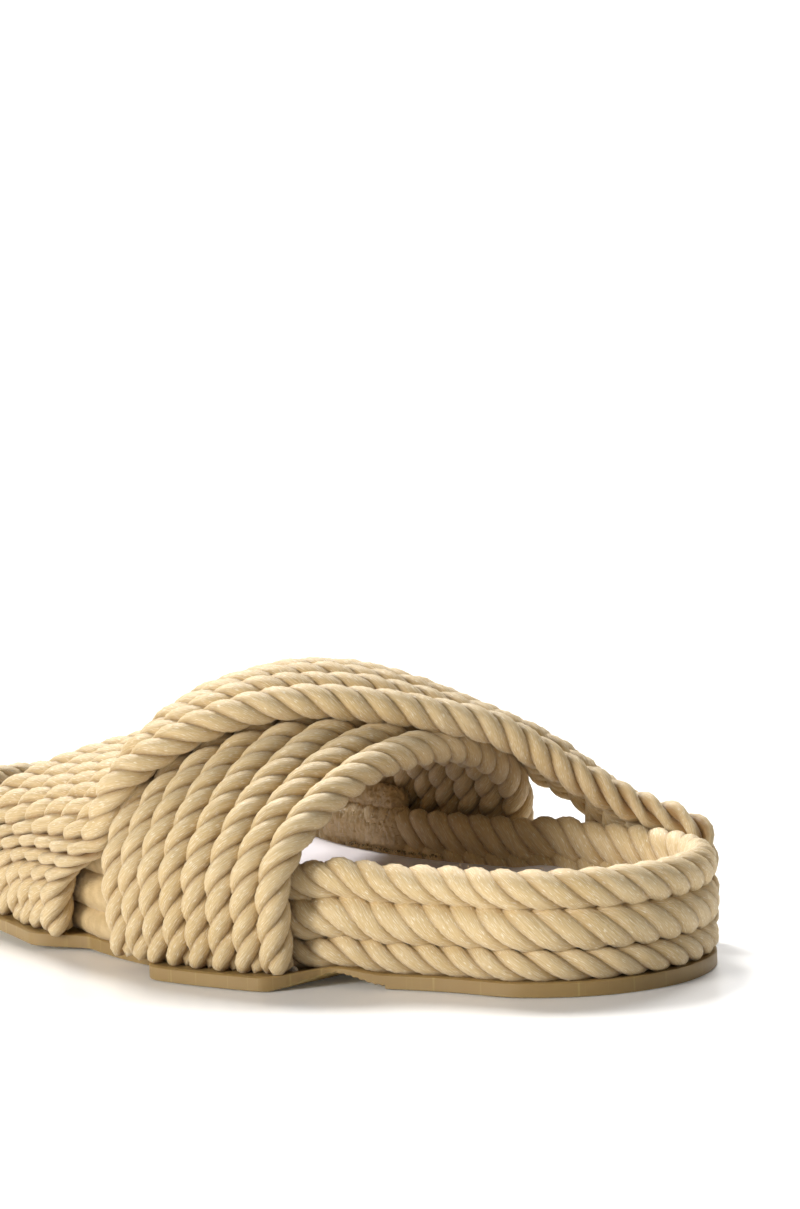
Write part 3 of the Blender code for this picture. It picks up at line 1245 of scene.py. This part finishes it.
@dataclass
class Glue(Section):
    """The wall's glued stretch between the straps, its frayed joint, and crumbs and a drop of glue."""

    seed: int = 7
    crumbs: int = 110
    crumb_stretch: tuple[float, float] = (0.096, 0.134)
    crumb_reach: tuple[float, float] = (-0.0006, 0.0010)
    crumb_size: tuple[float, float] = (0.00015, 0.0004)
    crumb_rise: float = 0.0006
    glued: tuple[float, float] = (0.126, 0.168)
    joints: tuple[Lump, ...] = (
        Lump("frayed_joint", Side.MEDIAL, 0.108, 0.150, radius=0.0043, taller=1.34, lower=0.0021,
             inward=0.0004, grain=0.0007, swell=0.0006, step=0.0004, sides=56),
        Lump("frayed_end", Side.MEDIAL, 0.114, 0.142, radius=0.0034, lower=-0.0056,
             inward=-0.0012, grain=0.0008, swell=0.0006, step=0.0004, sides=44),
    )
    drop_place: float = 0.0725
    drop_radius: float = 0.0011
    drop_inset: float = 0.0006
    drop_height: float = 0.0003
    drop_shape: tuple[float, float, float] = (0.7, 1.4, 0.8)

    def build(self) -> None:
        """Make and dress the glued pieces."""
        wall = RopeWall(self.sole, self.place, self.material)
        parts = [Lump(f"lump_{k + 1}", Side.LATERAL, *self.glued, swell_scale=150.0 + 20 * k)
                 .build(wall.line(k)) for k in range(len(self.sole.courses))]
        self.hand_over(joined("glued_wall", parts), "rope_course_middle", "rope_course_middle",
                       material=FibreFinish("glued_rope").material())
        parts = [lump.build(wall.line(len(self.sole.courses) - 1)) for lump in self.joints]
        fuzz = Fuzz(count=900, length=0.0016, radius=0.00005, seed=self.seed)
        parts += [fuzz.over("fibres", part) for part in parts]
        self.hand_over(joined("frayed_joint", parts), "rope_course_upper", "rope_course_upper",
                       material=FibreFinish("frayed_rope").material())
        self.hand_over(joined("glue_crumbs", self.crumb_line()), "insole")
        white = GlueFinish("white_glue", (0.80, 0.76, 0.68), (0.62, 0.56, 0.46))
        self.hand_over(self.drop(), "outsole", material=white.material())

    def drop(self) -> Thing:
        """The drop of pale glue in front of the heel block, on the lateral side.

        Returns:
            The drop.
        """
        x = self.sole.wall().edge(Side.LATERAL, self.drop_place) - self.drop_inset
        bpy.ops.mesh.primitive_ico_sphere_add(
            subdivisions=2, radius=self.drop_radius, scale=self.drop_shape,
            location=(x, self.drop_place, self.sole.seat(self.drop_place) + self.drop_height))
        obj = bpy.context.object
        obj.name = "glue_speck"
        active_only(obj)
        bpy.ops.object.transform_apply(location=True, rotation=True, scale=True)
        return obj

    def crumb_line(self) -> list[Thing]:
        """Small grains of glue along the foot of the far wall.

        Returns:
            One object for each grain.
        """
        picks = np.random.default_rng(self.seed + 1)
        inner = self.sole.wall().offset(-self.sole.rope)
        parts = []
        for _ in range(self.crumbs):
            y = picks.uniform(*self.crumb_stretch)
            x = inner.edge(Side.MEDIAL, y) - picks.uniform(*self.crumb_reach)
            z = self.sole.seat(y) + self.sole.wall_top - self.sole.insole_sink
            size = picks.uniform(*self.crumb_size)
            bpy.ops.mesh.primitive_ico_sphere_add(
                subdivisions=1, radius=size, location=(x, y, z + picks.uniform(0.0, self.crumb_rise)),
                rotation=tuple(picks.uniform(0, 3, 3)))
            bpy.context.object.name = "crumb"
            parts.append(bpy.context.object)
        deselect_all()
        for part in parts:
            part.select_set(True)
        bpy.ops.object.transform_apply(location=True, rotation=True, scale=True)
        return parts


@dataclass(frozen=True)
class Loop:
    """A stray loop of fibre on the lateral rim: where it stands, its size and its turn."""

    along: float
    high: float
    wide: float
    tall: float
    turn: float
    inset: float = 0.55
    dip: float = 0.35
    steps: int = 12

    def points(self, sole: Sole) -> Array:
        """The fibre's points.

        Args:
            sole: The sole that it stands on.

        Returns:
            The points in a row.
        """
        x = sole.wall().offset(-sole.rope * self.inset).edge(Side.LATERAL, self.along)
        t = np.linspace(-self.dip, math.pi + self.dip, self.steps)
        run = np.cos(t) * self.wide
        rise = np.sin(t) * self.tall
        z = sole.seat(self.along) + (sole.wall_top + self.high)
        return np.stack([x + run * math.sin(self.turn), self.along + run * math.cos(self.turn),
                         z + rise], -1)


@dataclass
class StrayFibres(Section):
    """Loose loops of fibre at the rim."""

    radius: float = 0.00007
    loops: tuple[Loop, ...] = (
        Loop(0.036, -0.0002, 0.0009, 0.0012, 0.5),
        Loop(0.034, -0.0002, 0.0006, 0.0009, 1.1),
        Loop(0.0175, -0.0002, 0.0008, 0.0010, 0.2),
        Loop(0.0160, -0.0004, 0.0010, 0.0007, 0.9),
    )

    def build(self) -> None:
        """Make and dress the loops."""
        lines = np.array([loop.points(self.sole) for loop in self.loops])
        self.hand_over(thin_tubes("stray_fibres", lines, self.radius), "rope_course_upper")


@dataclass
class Straps(Section):
    """The two straps of eight ropes each, one over the other."""

    lay_share: float = 2.5
    point_step: float = 0.00125
    rough_points: int = 160

    def build(self) -> None:
        """Make and dress both straps."""
        last = Last(self.sole)
        rope = TwistedRope(self.sole.rope, self.lay_share * self.sole.rope)
        number = 0
        for name, strap in (("lower_strap_ropes", LOWER), ("upper_strap_ropes", UPPER)):
            parts = []
            for k in range(strap.ropes):
                rough = last.rope_line(strap, k, self.rough_points)
                line = last.rope_line(strap, k, int(arc_length(rough.points)[-1] / self.point_step))
                phase = strap.phase_step * k + 0.5 * math.sin(7.3 * number)
                parts += rope.rope(f"{name}_{k + 1}", line, phase, number)
                number += 1
            obj = joined(name, parts)
            hairs = Fuzz(count=1500, length=0.0013, radius=0.00003, seed=number, stand=0.5)
            self.hand_over(joined(name, [obj, hairs.over("hairs", obj)]), "upper", "upper")


@dataclass
class Footbed(Section):
    """The insole inside the rope wall, a little dished and rounded at its edge."""

    rows: int = 120
    columns: int = 40
    tuck: float = 0.0012
    dish: float = 0.0008
    dish_share: float = 0.6
    edge_drop: float = 0.0010
    depth: float = 0.009
    first_row: float = 0.004
    end_power: int = 8
    side_power: int = 10
    map_scale: float = 10

    def build(self) -> None:
        """Make and dress the footbed."""
        inner = self.sole.wall().offset(-self.sole.rope + self.tuck)
        low, high = inner.loop[:, 1].min(), inner.loop[:, 1].max()
        y = eased(low, high, self.rows, self.first_row)
        left = inner.edge(Side.LATERAL, y)
        right = inner.edge(Side.MEDIAL, y)
        share = np.sin(np.linspace(-math.pi / 2, math.pi / 2, self.columns))
        x = (left + right)[:, None] / 2 + (right - left)[:, None] / 2 * share[None, :]
        ends = 1 - ((y - (low + high) / 2) / (high - low) * 2) ** self.end_power
        round_off = np.minimum((1 - np.abs(share) ** self.side_power)[None, :], ends[:, None])
        top = self.sole.seat(y)[:, None] + self.sole.wall_top - self.sole.insole_sink
        hollow = self.dish * (1 - share[None, :] ** 2) * self.dish_share
        z = top - self.edge_drop * (1 - round_off) - hollow
        points = np.stack([x, np.repeat(y[:, None], self.columns, axis=1), z], -1)
        obj = wrapped_sheet("footbed", points, points[..., :2] * self.map_scale)
        open_mesh(obj)
        bpy.ops.mesh.region_to_loop()
        bpy.ops.mesh.extrude_region_move(TRANSFORM_OT_translate={"value": (0, 0, -self.depth)})
        bpy.ops.mesh.edge_face_add()
        close_mesh(smooth=50)
        self.hand_over(obj, "insole", "insole")


@dataclass
class Outsole(Section):
    """The thin rubber sheet under the rope, with its heel block, arch, flanges and fine tread."""

    rows: int = 420
    bevel: float = 0.0005
    tooth: float = 0.0016
    tooth_depth: float = 0.00035

    def outline(self) -> Outline:
        """The sheet's outline, which reaches out under the strap ends.

        Returns:
            The outline.
        """
        sole = self.sole
        wall = sole.wall(2 * OUTLINE_POINTS)
        y = wall.loop[:, 1]
        reach = np.zeros(len(y))
        for strap in (LOWER, UPPER):
            for turn, side in ((0.0, -1), (1.0, 1)):
                along, pitch = strap.middle(sole, np.array([turn]))
                rear = float(along[0] - pitch[0] * strap.ropes / 2)
                front = float(along[0] + pitch[0] * strap.ropes / 2)
                start = rear - sole.flange_ramp * sole.flange_lead
                end = front + sole.flange_ramp * sole.flange_tail
                bump = ramp(y, start, start + sole.flange_ramp)
                bump = bump * (1 - ramp(y, end - sole.flange_ramp, end))
                reach = np.maximum(reach, bump * (wall.loop[:, 0] * side > 0))
        wide = sole.rope + 2 * sole.clearance + sole.flange_margin
        return wall.offset(reach * wide - (1 - reach) * sole.rim)

    def build(self) -> None:
        """Make and dress the sheet."""
        loop = self.outline()
        low, high = loop.loop[:, 1].min(), loop.loop[:, 1].max()
        block = self.sole.block_end * self.sole.length
        y = eased(low, high, self.rows)
        fine = np.arange(block, self.sole.arch_end * self.sole.length, self.tooth / 4)
        y = np.unique(np.concatenate([y, fine, [block + 1e-5]]))
        left = loop.edge(Side.LATERAL, y)
        right = loop.edge(Side.MEDIAL, y)
        top = self.sole.seat(y)
        under = self.sole.underside(y)
        arch = (y > block) * (1 - ramp(y, self.sole.arch_top * self.sole.length,
                                       self.sole.arch_end * self.sole.length))
        under = under + self.tooth_depth * arch * np.abs(((y - block) / self.tooth) % 1.0 * 2 - 1)
        bevel = np.minimum(self.bevel, (right - left) / 3)
        # from the top to the underside: bevels in from the edge, height, share of the way round
        half = ((3, top, 0.0), (1, top, 0.1), (0, top - bevel * 0.6, 0.2),
                (0, under + bevel * 0.5, 0.85), (1, under, 1.0))
        rim = [(left + inset * bevel, z, v) for inset, z, v in half]
        rim += [(right - inset * bevel, z, v) for inset, z, v in reversed(half)]
        rim += rim[:1]
        points = np.stack([np.stack([x, y, z], -1) for x, z, _ in rim], 1)
        v = np.repeat(np.array([row[2] for row in rim])[None, :], len(y), axis=0)
        u = np.repeat((y * MAP_SCALE)[:, None], len(rim), axis=1)
        obj = wrapped_sheet("outsole_sheet", points, np.stack([u, v], -1))
        open_mesh(obj)
        bpy.ops.mesh.remove_doubles(threshold=MERGE)
        bpy.ops.mesh.select_all(action="DESELECT")
        bpy.ops.mesh.select_non_manifold()
        bpy.ops.mesh.edge_face_add()
        close_mesh(smooth=35)
        self.hand_over(obj, "outsole", "outsole")


@dataclass
class Camera:
    """The photograph's viewpoint, in the sections' own frame."""

    stand: tuple[float, float, float] = (-0.4989, -0.4032, 0.1302)
    azimuth: float = -45.7
    pitch: float = 3.9
    roll: float = -2.2
    lens: float = 86.65

    def build(self, place: Place) -> None:
        """Make the scene's camera.

        Args:
            place: Where the sections' frame lies.
        """
        data = bpy.data.cameras.new("portrait")
        data.lens = self.lens
        data.sensor_width = 36.0
        data.clip_start = 0.01
        data.clip_end = 50.0
        camera = bpy.data.objects.new("portrait", data)
        bpy.context.scene.collection.objects.link(camera)
        a, e, r = (math.radians(v) for v in (self.azimuth, self.pitch, self.roll))
        back = Vector((math.sin(a) * math.cos(e), -math.cos(a) * math.cos(e), math.sin(e)))
        right = Vector((math.cos(a), math.sin(a), 0.0))
        up = back.cross(right)
        turned = right * math.cos(r) + up * math.sin(r)
        raised = up * math.cos(r) - right * math.sin(r)
        basis = Matrix((turned, raised, back)).transposed().to_4x4()
        x, y, z = self.stand
        camera.matrix_world = Matrix.Translation((x + place.x, y + place.y, z)) @ basis
        bpy.context.scene.camera = camera


@dataclass
class Softlight:
    """A far soft lamp: where it shines from, how strong and how wide it looks."""

    name: str
    source: tuple[float, float, float]
    strength: float
    spread: float
    colour: Colour = (1.0, 1.0, 1.0)

    def build(self) -> None:
        """Make the lamp."""
        light = bpy.data.lights.new(self.name, "SUN")
        light.energy = self.strength
        light.angle = math.radians(self.spread)
        light.color = self.colour
        lamp = bpy.data.objects.new(self.name, light)
        bpy.context.scene.collection.objects.link(lamp)
        lamp.location = self.source
        lamp.rotation_euler = (-Vector(self.source)).to_track_quat("-Z", "Y").to_euler()


@dataclass
class Studio:
    """White floor and backdrop, pale surroundings and soft lamps."""

    floor_size: float = 40.0
    floor_glow: float = 0.02
    floor_sink: float = 0.0001
    backdrop_glow: float = 1.0
    backdrop_distance: float = 12.0
    backdrop_size: float = 5.0
    surround: float = 0.22
    lamps: list[Softlight] = field(default_factory=lambda: [
        Softlight("key_light", (0.28, 0.60, 0.80), 3.2, 18.0, (1.0, 0.985, 0.955)),
        Softlight("side_light", (-0.90, 0.22, 0.30), 2.6, 24.0, (1.0, 0.98, 0.95)),
        Softlight("back_light", (0.60, 0.25, 0.80), 1.5, 18.0),
    ])

    def build(self, place: Place) -> None:
        """Make the floor, the backdrop, the surroundings, the lamps and the camera.

        Args:
            place: Where the sandal's own frame lies.
        """
        view = math.radians(Camera.azimuth)
        away = self.backdrop_distance
        sheets = (
            ("floor", self.floor_size, (0, 0, -self.floor_sink), (0, 0, 0), self.floor_glow),
            ("backdrop", self.backdrop_size, (-math.sin(view) * away, math.cos(view) * away, 0),
             (math.pi / 2, 0, view), self.backdrop_glow),
        )
        for name, size, location, rotation, glow in sheets:
            deselect_all()
            bpy.ops.mesh.primitive_plane_add(size=size, location=location, rotation=rotation)
            sheet = bpy.context.object
            sheet.name = f"studio_{name}"
            sheet.data.materials.append(StudioFinish(f"{name}_paper", glow).material())
        world = bpy.data.worlds.new("pale_room")
        world.use_nodes = True
        background = world.node_tree.nodes["Background"]
        background.inputs["Color"].default_value = (1.0, 1.0, 1.0, 1.0)
        background.inputs["Strength"].default_value = self.surround
        bpy.context.scene.world = world
        bpy.context.scene.view_settings.view_transform = "Standard"
        for lamp in self.lamps:
            lamp.build()
        Camera().build(place)


def main() -> None:
    """Build the sandal's pieces in order, then the studio."""
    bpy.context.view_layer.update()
    sole = Sole()
    place = Place.from_nodes(sole)
    rope = RopeFinish().material()
    Outsole(sole, place, RubberFinish().material()).build()
    Footbed(sole, place, FootbedFinish().material()).build()
    RopeWall(sole, place, rope).build()
    Straps(sole, place, rope).build()
    Glue(sole, place, GlueFinish().material()).build()
    StrayFibres(sole, place, rope).build()
    Studio().build(place)


if __name__ == "__main__":
    main()
